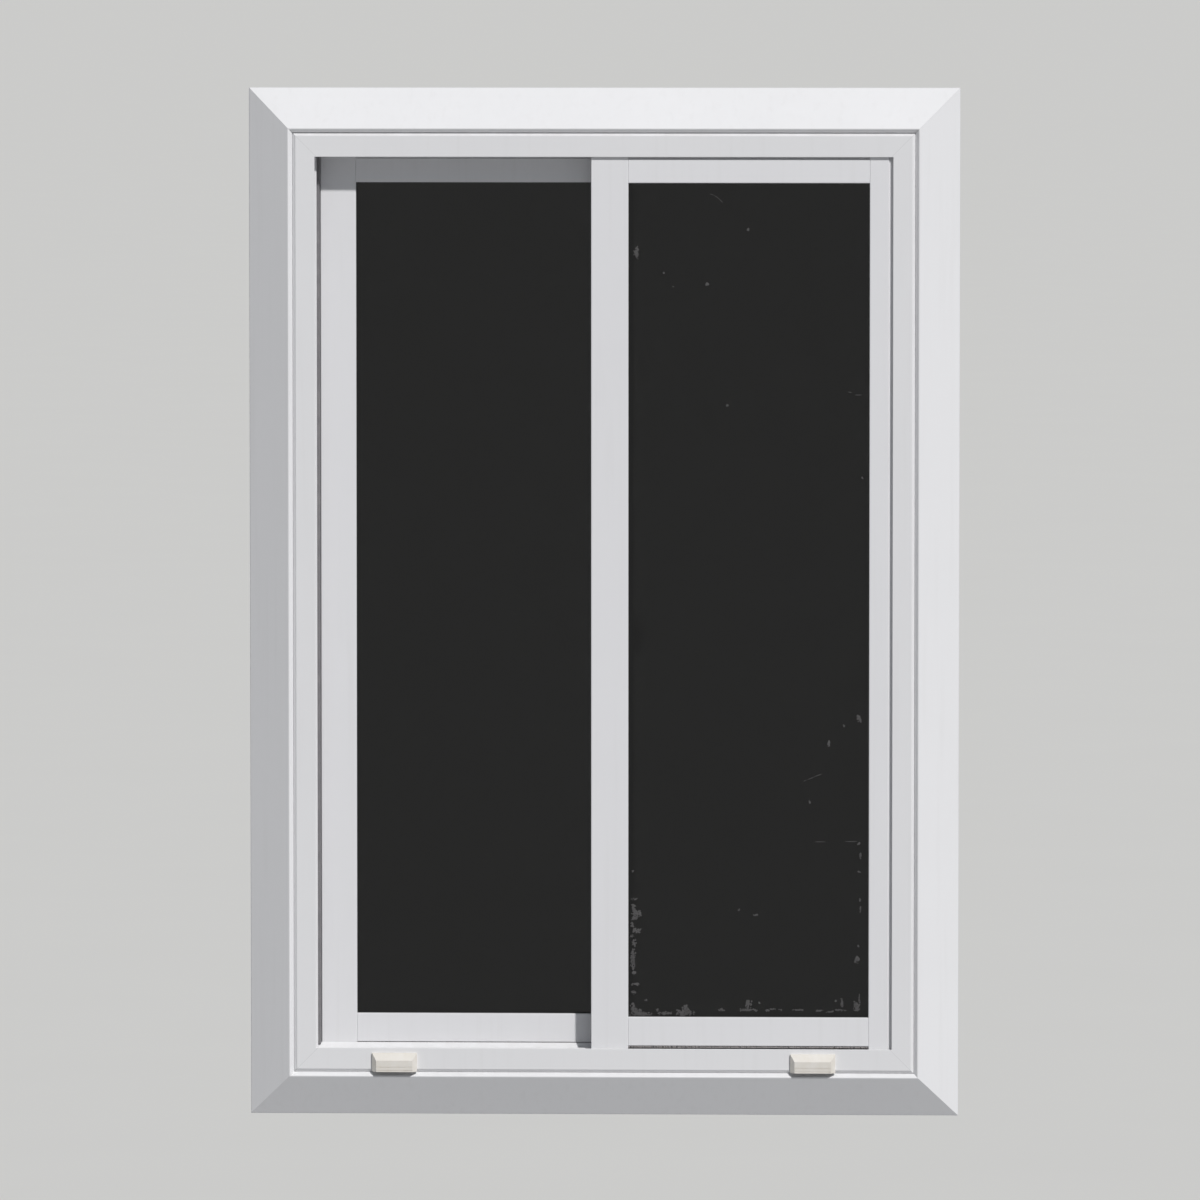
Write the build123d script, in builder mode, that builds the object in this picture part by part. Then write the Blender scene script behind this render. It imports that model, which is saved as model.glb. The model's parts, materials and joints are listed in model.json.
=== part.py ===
"""White two-sash sliding window with a sloped, mitred casing, as it stands in a thin wall.

Seen from outdoors, X runs to the right, Z up and Y in through the wall to the room.
The wall's outer surface is Y = 0, and the origin is on the back of the fixing fin below
the sill, at mid-width.
"""
import os

from build123d import *

# Sizes, in millimetres

# Outer frame
FRAME_WIDTH = 800.0
FRAME_HEIGHT = 1212.0
FRAME_PROUD = 38.0
FRAME_DEPTH = 80.0
FRAME_WALL = 1.8
JAMB_FACE = 28.5
SILL_FACE = 31.0
FRAME_CHAMFER = 4.0
FRONT_LIP = 2.5
REAR_LIP = 2.5
REAR_LIP_RISE = 7.0
LIP_ROUND = 0.6
TRACK_FLOOR = 22.0
TRACK_RAIL = 2.4
TRACK_RAIL_TOP = 30.0
TRACK_RAIL_ROUND = 1.0
FIN_WIDTH = 36.0
FIN_THICKNESS = 1.8

# Ledge on the sill between the two tracks
LEDGE_FOOT = 28.0
LEDGE_TOP = 34.2
LEDGE_CREST = 1.0
LEDGE_WALL = 1.6
LEDGE_GAP = 0.7

# Casing
CASING_WIDTH = 57.5
CASING_WALL = 1.5
CASING_BEND = 1.9
CASING_EDGE = 8.0
CASING_CREST = 41.0
CASING_BEVEL = 5.0
CASING_VALLEY = 35.0
CASING_GAP = 0.3

# Sashes
SASH_DEPTH = 30.0
SASH_RECESS = 4.0
SASH_SPACE = 8.0
SASH_WALL = 1.8
SASH_ROUND = 1.2
SASH_EDGE = 33.5
SASH_FOOT = 24.0
SASH_CROWN = 26.0
PULL_STILE_FACE = 46.0
JAMB_STILE_FACE = 25.0
MEETING_STILE_FACE = 48.0
MEETING_OVERLAP = 53.6
TOP_RAIL_FACE = 31.0
BOTTOM_RAIL_EDGE = 34.5
BOTTOM_RAIL_FACE = 37.5
RAIL_END_BEVEL = 0.4
TONGUE_WALL = 2.0
TONGUE_SETBACK = 2.5
NOTCH_CLEARANCE = 2.5
PULL_INSET = 14.0
PULL_REACH = 7.0
PULL_RETURN = 5.0
PULL_WALL = 2.0

# Hooks that interlock between the meeting stiles
HOOK_WALL = 1.4
HOOK_FROM_EDGE = 20.0
HOOK_TIP_GAP = 1.2
HOOK_FACE_GAP = 0.4

# Glazing
GLAZING_GROOVE = 12.0
GLAZING_LIP = 3.0
GLASS_COVER = 9.0
PANE = 4.0
PANE_SPACE = 9.0
SPACER_HEIGHT = 6.0
SPACER_INSET = 2.0
GASKET_HEIGHT = 6.5
GASKET_SHOW = 0.6
BLOCK_LENGTH = 30.0
BLOCK_INSET = 50.0

# Rollers
WHEEL_GROOVE_RADIUS = 7.0
WHEEL_RADIUS = 8.4
WHEEL_WIDTH = 6.0
WHEEL_GROOVE = 3.4
WHEEL_SIDE_GAP = 0.5
AXLE_RADIUS = 2.0
AXLE_CLEARANCE = 0.1
CARRIER_LENGTH = 46.0
CARRIER_CHEEK = 22.0
CARRIER_WALL = 2.0
CARRIER_GAP = 0.2
CARRIER_INSET = 45.0
CHANNEL_HEIGHT = 16.0
CHANNEL_WALL = 2.0

# Drain covers
DRAIN_OFFSET = 270.0
DRAIN_WIDTH = 58.0
DRAIN_HEIGHT = 24.0
DRAIN_DEPTH = 9.0
DRAIN_RIM = 3.0
DRAIN_LIFT = 0.8
DRAIN_WALL = 1.6
DRAIN_SLOPE = 9.3
DRAIN_BEVEL = 5.5
DRAIN_GROOVE = 0.7
DRAIN_GROOVE_DEPTH = 0.5
DRAIN_GROOVE_RISES = (2.0, 6.2)
DRAIN_SLOT_WIDTH = 34.0
DRAIN_SLOT_HEIGHT = 6.0
DRAIN_SLOT_RISE = 10.0
DRAIN_PLUG_GAP = 0.1
DRAIN_PLUG_DEPTH = 5.0
DRAIN_PLUG = 8.0

# Latch on the room side
LATCH_HEIGHT = 560.0
LATCH_INSET = 12.0
LATCH_BASE_LENGTH = 64.0
LATCH_BASE_WIDTH = 22.0
LATCH_BASE_THICKNESS = 6.0
LATCH_BASE_ROUND = 5.0
LATCH_HUB_RADIUS = 9.0
LATCH_PIN_RADIUS = 4.0
LATCH_PIN_GAP = 0.1
CAM_RADIUS = 20.0
CAM_THICKNESS = 5.0
LEVER_LENGTH = 40.0
LEVER_WIDTH = 9.0
LEVER_ROUND = 3.0
KEEPER_THICKNESS = 2.0
KEEPER_LENGTH = 36.0
KEEPER_FOOT = 12.0
KEEPER_GAP = 1.0
KEEPER_TAB = 8.0

# Places worked out from the sizes
FRONT = -FRAME_PROUD
REAR = FRONT + FRAME_DEPTH
FRAME_BOTTOM = FIN_WIDTH / 2
FRAME_TOP = FRAME_BOTTOM + FRAME_HEIGHT
MIDDLE_Z = (FRAME_BOTTOM + FRAME_TOP) / 2
HALF_WIDTH = FRAME_WIDTH / 2
HALF_HEIGHT = FRAME_HEIGHT / 2
OUTER_SASH_Y = FRONT + SASH_RECESS
INNER_SASH_Y = OUTER_SASH_Y + SASH_DEPTH + SASH_SPACE
RAIL_PLACES = (OUTER_SASH_Y + SASH_DEPTH / 2, INNER_SASH_Y + SASH_DEPTH / 2)
SASH_BOTTOM = FRAME_BOTTOM + SASH_FOOT
SASH_TOP = FRAME_TOP - SASH_CROWN
DAYLIGHT_BOTTOM = FRAME_BOTTOM + BOTTOM_RAIL_EDGE + BOTTOM_RAIL_FACE
DAYLIGHT_TOP = FRAME_TOP - SASH_EDGE - TOP_RAIL_FACE
DAYLIGHT_HEIGHT = DAYLIGHT_TOP - DAYLIGHT_BOTTOM
SASH_FACES = PULL_STILE_FACE + JAMB_STILE_FACE + 2 * MEETING_STILE_FACE - MEETING_OVERLAP
DAYLIGHT_WIDTH = (FRAME_WIDTH - 2 * SASH_EDGE - SASH_FACES) / 2
DAYLIGHT_MIDDLE = (DAYLIGHT_BOTTOM + DAYLIGHT_TOP) / 2
STILE_MIDDLE = (SASH_BOTTOM + SASH_TOP) / 2
STILE_HALF = (SASH_TOP - SASH_BOTTOM) / 2
HOOK_BOTTOM = FRAME_BOTTOM + LEDGE_TOP + NOTCH_CLEARANCE
HOOK_REACH = (SASH_SPACE + 2 * HOOK_WALL + HOOK_FACE_GAP) / 2
HOOK_LENGTH = MEETING_OVERLAP - 2 * HOOK_FROM_EDGE - HOOK_WALL - HOOK_TIP_GAP
GROOVE_WIDTH = SASH_DEPTH - 2 * GLAZING_LIP
UNIT_DEPTH = 2 * PANE + PANE_SPACE
GASKET_DEPTH = (GROOVE_WIDTH - UNIT_DEPTH) / 2

ROOMWARD = Vector(0, 1, 0)
INWARD = {
    "left": Vector(1, 0, 0),
    "right": Vector(-1, 0, 0),
    "sill": Vector(0, 0, 1),
    "head": Vector(0, 0, -1),
}

os.makedirs("parts", exist_ok=True)


def save(builder, name):
    """Labels a finished piece and writes it."""
    builder.part.label = name
    export_step(builder.part, f"parts/{name}.step")


def across(origin, inward):
    """The plane across a bar: its x points inward, its y to the room."""
    return Plane(origin=origin, x_dir=inward, z_dir=inward.cross(ROOMWARD))


def box_between(low_x, high_x, low_y, high_y, mode=Mode.ADD):
    """A rectangle given by its sides."""
    with Locations(((low_x + high_x) / 2, (low_y + high_y) / 2)):
        Rectangle(high_x - low_x, high_y - low_y, mode=mode)


def rounded_fin(low_x, high_x, low_y, high_y, radius):
    """A rectangle given by its sides, with its two far corners rounded."""
    with BuildLine() as outline:
        tip = FilletPolyline(
            (low_x, low_y), (high_x, low_y), (high_x, high_y), (low_x, high_y), radius=radius
        )
        Line(tip @ 1, tip @ 0)
    make_face(outline.edges())


# Mitred rings: the frame and the casing

def ring_side(side, half_width, half_height):
    """Middle of one side of a ring about the window's centre, and half that side's length."""
    inward = INWARD[side]
    upright = side in ("left", "right")
    reach = half_width if upright else half_height
    origin = Vector(0, 0, MIDDLE_Z) - inward * reach
    return origin, half_height if upright else half_width


def mitre(side, half_width, half_height, face=1, next_face=1):
    """Cuts both ends of a ring's bar from its outer to its inner corners.

    The cut leans where the bar's face isn't as wide as that of the bars it meets.
    """
    inward = INWARD[side]
    origin, half_run = ring_side(side, half_width, half_height)
    along = inward.cross(ROOMWARD)
    for end in (along, along * -1):
        corner = origin + end * half_run
        into_bar = end * -face - inward * next_face
        split(bisect_by=Plane(origin=corner, z_dir=into_bar), keep=Keep.TOP)


def frame_section(plane, face, with_ledge):
    """Hollow track section: x from the frame's outer edge inward, y through the wall."""
    with BuildSketch(plane) as section:
        with BuildLine():
            Polyline(
                (0, FRONT + FRAME_CHAMFER),
                (FRAME_CHAMFER, FRONT),
                (TRACK_FLOOR, FRONT),
                (TRACK_FLOOR, REAR),
                (0, REAR),
                close=True,
            )
        make_face()
        offset(amount=-FRAME_WALL, kind=Kind.INTERSECTION, mode=Mode.SUBTRACT)
        for rail_y in RAIL_PLACES:
            rounded_fin(FRAME_WALL / 2, TRACK_RAIL_TOP,
                        rail_y - TRACK_RAIL / 2, rail_y + TRACK_RAIL / 2, TRACK_RAIL_ROUND)
        lip_foot = TRACK_FLOOR - FRAME_WALL
        rounded_fin(lip_foot, face, FRONT, FRONT + FRONT_LIP, LIP_ROUND)
        rounded_fin(lip_foot, face + REAR_LIP_RISE, REAR - REAR_LIP, REAR, LIP_ROUND)
        box_between(-FIN_WIDTH, FRAME_WALL / 2, -FIN_THICKNESS, 0)
        if with_ledge:
            ledge_front = OUTER_SASH_Y + SASH_DEPTH + LEDGE_GAP
            ledge_back = INNER_SASH_Y - LEDGE_GAP
            with BuildLine():
                Polyline(
                    (TRACK_FLOOR - FRAME_WALL, ledge_front),
                    (LEDGE_FOOT, ledge_front),
                    (LEDGE_TOP, ledge_back - LEDGE_CREST),
                    (LEDGE_TOP, ledge_back),
                    (TRACK_FLOOR - FRAME_WALL, ledge_back),
                    close=True,
                )
            ledge = make_face(mode=Mode.PRIVATE)
            add(ledge)
            hollow = offset(ledge, amount=-LEDGE_WALL, kind=Kind.INTERSECTION, mode=Mode.PRIVATE)
            add(hollow, mode=Mode.SUBTRACT)
    return section.sketch


def casing_section(plane):
    """Folded cover: x from its outer edge inward, y through the wall."""
    inner_side = CASING_WIDTH - CASING_GAP
    with BuildSketch(plane) as section:
        with BuildLine():
            cover = FilletPolyline(
                (0, 0),
                (0, -CASING_EDGE),
                (CASING_WIDTH - CASING_BEVEL, -CASING_CREST),
                (inner_side, -CASING_VALLEY),
                (inner_side, -FIN_THICKNESS),
                radius=CASING_BEND,
            )
            offset(cover, amount=CASING_WALL, side=Side.LEFT, kind=Kind.INTERSECTION)
        make_face()
    return section.sketch


for side_name in INWARD:
    face, next_face = JAMB_FACE, SILL_FACE
    if side_name in ("sill", "head"):
        face, next_face = SILL_FACE, JAMB_FACE
    origin, half_run = ring_side(side_name, HALF_WIDTH, HALF_HEIGHT)
    with BuildPart() as frame_bar:
        profile = frame_section(across(origin, INWARD[side_name]), face, side_name == "sill")
        extrude(profile, amount=half_run + FIN_WIDTH, both=True)
        mitre(side_name, HALF_WIDTH, HALF_HEIGHT, face, next_face)
        if side_name == "sill":
            slot_z = FRAME_BOTTOM + DRAIN_SLOT_RISE
            with BuildSketch(Plane(origin=(0, FRONT, slot_z), x_dir=(1, 0, 0), z_dir=(0, -1, 0))):
                with Locations((-DRAIN_OFFSET, 0), (DRAIN_OFFSET, 0)):
                    SlotOverall(DRAIN_SLOT_WIDTH, DRAIN_SLOT_HEIGHT)
            extrude(amount=-(FRONT_LIP + FRAME_WALL), mode=Mode.SUBTRACT)
    save(frame_bar, f"frame_{side_name}")

    casing_half_width = HALF_WIDTH + CASING_WIDTH
    casing_half_height = HALF_HEIGHT + CASING_WIDTH
    origin, half_run = ring_side(side_name, casing_half_width, casing_half_height)
    with BuildPart() as casing_bar:
        profile = casing_section(across(origin, INWARD[side_name]))
        extrude(profile, amount=half_run, both=True)
        mitre(side_name, casing_half_width, casing_half_height)
    save(casing_bar, f"casing_{side_name}")


# Sashes: the left one runs on the inner track, the right one on the outer

def sash_section(plane, face, hollow_from=SASH_WALL):
    """Sash bar with its glazing groove: x from the outer edge to the glass, y from the front."""
    with BuildSketch(plane) as section:
        box_between(0, face, 0, SASH_DEPTH)
        fillet(section.vertices(), SASH_ROUND)
        groove_floor = face - GLAZING_GROOVE
        box_between(groove_floor, face, GLAZING_LIP, SASH_DEPTH - GLAZING_LIP, mode=Mode.SUBTRACT)
        box_between(hollow_from, groove_floor - SASH_WALL,
                    SASH_WALL, SASH_DEPTH - SASH_WALL, mode=Mode.SUBTRACT)
    return section.sketch


def tongue_section(plane, length):
    """Two legs that stand off a sash bar's outer edge and straddle the track's rail."""
    with BuildSketch(plane) as section:
        for near_y in (TONGUE_SETBACK, SASH_DEPTH - TONGUE_SETBACK - TONGUE_WALL):
            box_between(-length, 0, near_y, near_y + TONGUE_WALL)
    return section.sketch


def pull_section(plane, face):
    """Lip on a stile's room side that the fingers pull: x and y as in the sash bar."""
    lip_x = face - PULL_INSET
    lip_y = SASH_DEPTH + PULL_REACH
    with BuildSketch(plane) as section:
        box_between(lip_x - PULL_WALL, lip_x, SASH_DEPTH, lip_y)
        box_between(lip_x - PULL_RETURN, lip_x, lip_y - PULL_WALL, lip_y)
    return section.sketch


def hook_section(plane):
    """Hook behind a meeting stile: x along its face from the outer edge, y off its face."""
    with BuildSketch(plane) as section:
        box_between(HOOK_FROM_EDGE, HOOK_FROM_EDGE + HOOK_WALL, 0, HOOK_REACH)
        box_between(HOOK_FROM_EDGE, HOOK_FROM_EDGE + HOOK_LENGTH,
                    HOOK_REACH - HOOK_WALL, HOOK_REACH)
    return section.sketch


def rail_notches(low_x, high_x, track_y):
    """Cuts a stile's two ends clear of the track's rail."""
    width = TRACK_RAIL + 2 * NOTCH_CLEARANCE
    for end_z, rail_z, upward in (
        (SASH_BOTTOM, FRAME_BOTTOM + TRACK_RAIL_TOP, 1),
        (SASH_TOP, FRAME_TOP - TRACK_RAIL_TOP, -1),
    ):
        height = abs(rail_z - end_z) + NOTCH_CLEARANCE
        with Locations(((low_x + high_x) / 2, track_y, end_z + upward * height / 2)):
            Box(high_x - low_x, width, height, mode=Mode.SUBTRACT)


def soften_rail_ends(rail):
    """Takes the sharp edge off a rail's ends where they meet the stiles."""
    ends = rail.faces().filter_by(Axis.X).sort_by(Axis.X)
    edges = [end.edges().sort_by(Axis.Y)[place] for end in (ends[0], ends[-1]) for place in (0, -1)]
    chamfer(edges, RAIL_END_BEVEL)


def facing_plane(middle_x, front_y):
    """A plane facing outdoors at the middle of a sash's daylight opening."""
    return Plane(origin=(middle_x, front_y, DAYLIGHT_MIDDLE), x_dir=(1, 0, 0), z_dir=(0, -1, 0))


def glazing_ring(middle_x, front_y, depth, beyond, height):
    """A ring round the daylight opening: beyond is its outer edge, past the opening."""
    with BuildPart() as ring:
        with BuildSketch(facing_plane(middle_x, front_y)):
            Rectangle(DAYLIGHT_WIDTH + 2 * beyond, DAYLIGHT_HEIGHT + 2 * beyond)
            Rectangle(DAYLIGHT_WIDTH + 2 * (beyond - height),
                      DAYLIGHT_HEIGHT + 2 * (beyond - height), mode=Mode.SUBTRACT)
        extrude(amount=-depth)
    return ring


for sash_name, sash_y, jamb_face in (
    ("left", INNER_SASH_Y, PULL_STILE_FACE),
    ("right", OUTER_SASH_Y, JAMB_STILE_FACE),
):
    inward = INWARD[sash_name]
    track_y = sash_y + SASH_DEPTH / 2
    jamb_x = inward.X * (SASH_EDGE - HALF_WIDTH)
    glass_start = jamb_x + inward.X * jamb_face
    glass_end = glass_start + inward.X * DAYLIGHT_WIDTH
    meeting_x = glass_end + inward.X * MEETING_STILE_FACE
    glass_x = (glass_start + glass_end) / 2

    with BuildPart() as jamb_stile:
        plane = across(Vector(jamb_x, sash_y, STILE_MIDDLE), inward)
        extrude(sash_section(plane, jamb_face), amount=STILE_HALF, both=True)
        tongue = tongue_section(plane, SASH_EDGE - SASH_FOOT)
        rail_notches(*sorted((jamb_x, glass_start)), track_y)
        extrude(tongue, amount=STILE_HALF, both=True)
        if sash_name == "left":
            pull_plane = across(Vector(jamb_x, sash_y, DAYLIGHT_MIDDLE), inward)
            extrude(pull_section(pull_plane, jamb_face), amount=DAYLIGHT_HEIGHT / 2, both=True)
    save(jamb_stile, f"{sash_name}_jamb_stile")

    with BuildPart() as meeting_stile:
        plane = across(Vector(meeting_x, sash_y, STILE_MIDDLE), inward * -1)
        extrude(sash_section(plane, MEETING_STILE_FACE), amount=STILE_HALF, both=True)
        rail_notches(*sorted((glass_end, meeting_x)), track_y)
        hook_y = sash_y if sash_name == "left" else sash_y + SASH_DEPTH
        hook_plane = Plane(origin=(meeting_x, hook_y, HOOK_BOTTOM), x_dir=inward * -1,
                           z_dir=(0, 0, 1))
        extrude(hook_section(hook_plane), amount=SASH_TOP - HOOK_BOTTOM)
    save(meeting_stile, f"{sash_name}_meeting_stile")

    half_rail = DAYLIGHT_WIDTH / 2
    with BuildPart() as top_rail:
        plane = across(Vector(glass_x, sash_y, FRAME_TOP - SASH_EDGE), INWARD["head"])
        extrude(sash_section(plane, TOP_RAIL_FACE), amount=half_rail, both=True)
        soften_rail_ends(top_rail)
        extrude(tongue_section(plane, SASH_EDGE - SASH_CROWN), amount=half_rail, both=True)
    save(top_rail, f"{sash_name}_top_rail")

    with BuildPart() as bottom_rail:
        plane = across(Vector(glass_x, sash_y, FRAME_BOTTOM + BOTTOM_RAIL_EDGE), INWARD["sill"])
        extrude(sash_section(plane, BOTTOM_RAIL_FACE, CHANNEL_HEIGHT + SASH_WALL),
                amount=half_rail, both=True)
        soften_rail_ends(bottom_rail)
        with BuildSketch(plane):
            box_between(0, CHANNEL_HEIGHT, CHANNEL_WALL, SASH_DEPTH - CHANNEL_WALL)
        extrude(amount=half_rail, both=True, mode=Mode.SUBTRACT)
    save(bottom_rail, f"{sash_name}_bottom_rail")

    groove_y = sash_y + GLAZING_LIP
    outer_pane_y = groove_y + GASKET_DEPTH
    inner_pane_y = outer_pane_y + PANE + PANE_SPACE
    for pane_name, pane_y in (("outer_pane", outer_pane_y), ("inner_pane", inner_pane_y)):
        with BuildPart() as pane:
            with BuildSketch(facing_plane(glass_x, pane_y)):
                Rectangle(DAYLIGHT_WIDTH + 2 * GLASS_COVER, DAYLIGHT_HEIGHT + 2 * GLASS_COVER)
            extrude(amount=-PANE)
        save(pane, f"{sash_name}_{pane_name}")

    spacer_beyond = GLASS_COVER - SPACER_INSET
    save(glazing_ring(glass_x, outer_pane_y + PANE, PANE_SPACE, spacer_beyond, SPACER_HEIGHT),
         f"{sash_name}_glass_spacer")
    gasket_beyond = GASKET_HEIGHT - GASKET_SHOW
    save(glazing_ring(glass_x, groove_y, GASKET_DEPTH, gasket_beyond, GASKET_HEIGHT),
         f"{sash_name}_outer_gasket")
    save(glazing_ring(glass_x, inner_pane_y + PANE, GASKET_DEPTH, gasket_beyond, GASKET_HEIGHT),
         f"{sash_name}_inner_gasket")

    with BuildPart() as setting_blocks:
        block_height = GLAZING_GROOVE - GLASS_COVER
        with BuildSketch(Plane.XY.offset(DAYLIGHT_BOTTOM - GLAZING_GROOVE)):
            for end in (-1, 1):
                with Locations((glass_x + end * (DAYLIGHT_WIDTH / 2 - BLOCK_INSET),
                                outer_pane_y + UNIT_DEPTH / 2)):
                    Rectangle(BLOCK_LENGTH, UNIT_DEPTH)
        extrude(amount=block_height)
    save(setting_blocks, f"{sash_name}_setting_blocks")

    wheel_z = FRAME_BOTTOM + TRACK_RAIL_TOP + WHEEL_GROOVE_RADIUS
    wheel_places = [glass_x + end * (DAYLIGHT_WIDTH / 2 - CARRIER_INSET) for end in (-1, 1)]
    with BuildPart() as wheels:
        for wheel_x in wheel_places:
            with BuildSketch(Plane(origin=(wheel_x, track_y, wheel_z), x_dir=(0, 1, 0),
                                   z_dir=(1, 0, 0))):
                box_between(-WHEEL_WIDTH / 2, WHEEL_WIDTH / 2,
                            AXLE_RADIUS + AXLE_CLEARANCE, WHEEL_RADIUS)
                with BuildLine():
                    Polyline(
                        (-WHEEL_GROOVE / 2, WHEEL_RADIUS),
                        (-TRACK_RAIL / 2, WHEEL_GROOVE_RADIUS),
                        (TRACK_RAIL / 2, WHEEL_GROOVE_RADIUS),
                        (WHEEL_GROOVE / 2, WHEEL_RADIUS),
                        close=True,
                    )
                make_face(mode=Mode.SUBTRACT)
            revolve(axis=Axis((wheel_x, track_y, wheel_z), (0, 1, 0)))
    save(wheels, f"{sash_name}_wheels")

    channel_top = FRAME_BOTTOM + BOTTOM_RAIL_EDGE + CHANNEL_HEIGHT
    carrier_width = SASH_DEPTH - 2 * (CHANNEL_WALL + CARRIER_GAP)
    cheek_from = WHEEL_WIDTH / 2 + WHEEL_SIDE_GAP
    with BuildPart() as carriers:
        for wheel_x in wheel_places:
            with BuildSketch(Plane(origin=(wheel_x, track_y, channel_top), x_dir=(0, 1, 0),
                                   z_dir=(1, 0, 0))):
                box_between(-carrier_width / 2, carrier_width / 2, -CARRIER_WALL, 0)
            extrude(amount=CARRIER_LENGTH / 2, both=True)
            for cheek_y in (-cheek_from - CARRIER_WALL, cheek_from):
                with BuildSketch(Plane(origin=(wheel_x, track_y, channel_top), x_dir=(0, 1, 0),
                                       z_dir=(1, 0, 0))):
                    box_between(cheek_y, cheek_y + CARRIER_WALL,
                                BOTTOM_RAIL_EDGE + FRAME_BOTTOM - channel_top, 0)
                extrude(amount=CARRIER_CHEEK / 2, both=True)
            with BuildSketch(Plane(origin=(wheel_x, track_y, wheel_z), x_dir=(1, 0, 0),
                                   z_dir=(0, 1, 0))):
                Circle(AXLE_RADIUS)
            extrude(amount=cheek_from + CARRIER_WALL, both=True)
    save(carriers, f"{sash_name}_carriers")


# Drain covers, clipped into the sill's slots

for cover_name, cover_x in (("left", -DRAIN_OFFSET), ("right", DRAIN_OFFSET)):
    back = Plane(origin=(cover_x, FRONT, FRAME_BOTTOM + DRAIN_LIFT), x_dir=(1, 0, 0),
                 z_dir=(0, -1, 0))
    face = back.offset(DRAIN_DEPTH)
    face_height = DRAIN_HEIGHT - DRAIN_SLOPE
    with BuildPart() as drain_cover:
        with BuildSketch(back):
            Rectangle(DRAIN_WIDTH, DRAIN_HEIGHT, align=(Align.CENTER, Align.MIN))
        extrude(amount=DRAIN_RIM)
        with BuildSketch(back.offset(DRAIN_RIM)):
            Rectangle(DRAIN_WIDTH, DRAIN_HEIGHT, align=(Align.CENTER, Align.MIN))
        with BuildSketch(face):
            Rectangle(DRAIN_WIDTH - 2 * DRAIN_BEVEL, face_height, align=(Align.CENTER, Align.MIN))
        loft()
        open_faces = [drain_cover.faces().sort_by(Axis.Y)[-1], drain_cover.faces().sort_by(Axis.Z)[0]]
        offset(amount=-DRAIN_WALL, openings=open_faces)
        with BuildSketch(face):
            for groove_rise in DRAIN_GROOVE_RISES:
                with Locations((0, groove_rise)):
                    Rectangle(DRAIN_WIDTH - 2 * DRAIN_BEVEL, DRAIN_GROOVE)
        extrude(amount=-DRAIN_GROOVE_DEPTH, mode=Mode.SUBTRACT)
        with BuildSketch(face.offset(-DRAIN_WALL)):
            for end in (-1, 1):
                with Locations((end * (DRAIN_SLOT_WIDTH - DRAIN_PLUG) / 2,
                                DRAIN_SLOT_RISE - DRAIN_LIFT)):
                    Rectangle(DRAIN_PLUG - 2 * DRAIN_PLUG_GAP - DRAIN_SLOT_HEIGHT / 2,
                              DRAIN_SLOT_HEIGHT / 2)
        extrude(amount=-(DRAIN_DEPTH - DRAIN_WALL + DRAIN_PLUG_DEPTH))
    save(drain_cover, f"{cover_name}_drain_cover")


# Latch on the inner sash's meeting stile, and its keeper on the outer sash's

left_meeting_edge = SASH_EDGE - HALF_WIDTH + PULL_STILE_FACE + DAYLIGHT_WIDTH + MEETING_STILE_FACE
right_meeting_edge = left_meeting_edge - MEETING_OVERLAP
latch_x = left_meeting_edge - LATCH_INSET
latch_z = FRAME_BOTTOM + LATCH_HEIGHT
base_y = INNER_SASH_Y + SASH_DEPTH
cam_y = base_y + LATCH_BASE_THICKNESS


def room_plane(x, y, z):
    """A plane square to the room: its x to the right, its normal to the room, so its y is down."""
    return Plane(origin=(x, y, z), x_dir=(1, 0, 0), z_dir=(0, 1, 0))


with BuildPart() as latch_base:
    with BuildSketch(room_plane(latch_x, base_y, latch_z)):
        RectangleRounded(LATCH_BASE_WIDTH, LATCH_BASE_LENGTH, LATCH_BASE_ROUND)
    extrude(amount=LATCH_BASE_THICKNESS)
    with BuildSketch(room_plane(latch_x, cam_y, latch_z)):
        Circle(LATCH_PIN_RADIUS)
    extrude(amount=CAM_THICKNESS)
save(latch_base, "latch_base")

with BuildPart() as latch_cam:
    with BuildSketch(room_plane(latch_x, cam_y, latch_z)):
        Circle(CAM_RADIUS)
        Rectangle(CAM_RADIUS, 2 * CAM_RADIUS, align=(Align.MAX, Align.CENTER), mode=Mode.SUBTRACT)
        Circle(LATCH_HUB_RADIUS)
        with Locations((0, LEVER_LENGTH / 2)):
            RectangleRounded(LEVER_WIDTH, LEVER_LENGTH, LEVER_ROUND)
        Circle(LATCH_PIN_RADIUS + LATCH_PIN_GAP, mode=Mode.SUBTRACT)
    extrude(amount=CAM_THICKNESS)
save(latch_cam, "latch_cam")

keeper_y = OUTER_SASH_Y + SASH_DEPTH
keeper_from = right_meeting_edge + MEETING_STILE_FACE - KEEPER_FOOT
keeper_arm = latch_x + CAM_RADIUS + KEEPER_GAP
tab_y = cam_y + CAM_THICKNESS + KEEPER_GAP
with BuildPart() as latch_keeper:
    with BuildSketch(Plane(origin=(0, 0, latch_z), x_dir=(1, 0, 0), z_dir=(0, 0, 1))):
        box_between(keeper_from, keeper_arm + KEEPER_THICKNESS,
                    keeper_y, keeper_y + KEEPER_THICKNESS)
        box_between(keeper_arm, keeper_arm + KEEPER_THICKNESS,
                    keeper_y, tab_y + KEEPER_THICKNESS)
        box_between(keeper_arm - KEEPER_TAB, keeper_arm + KEEPER_THICKNESS,
                    tab_y, tab_y + KEEPER_THICKNESS)
    extrude(amount=KEEPER_LENGTH / 2, both=True)
save(latch_keeper, "latch_keeper")
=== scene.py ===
# %% [markdown]
# A white sliding window, dressed for a picture
#
# The window is an assembly of painted aluminium bars, dark glass, rubber, nylon and a little
# steel. Every bar already has its real shape, so the work here is to give each surface the
# finish of the real one, to add the small things that a maker fits last, and to light it.

# %% Load the model
import json
import math
import random

import bmesh
import bpy
from mathutils import Matrix, Vector


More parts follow.
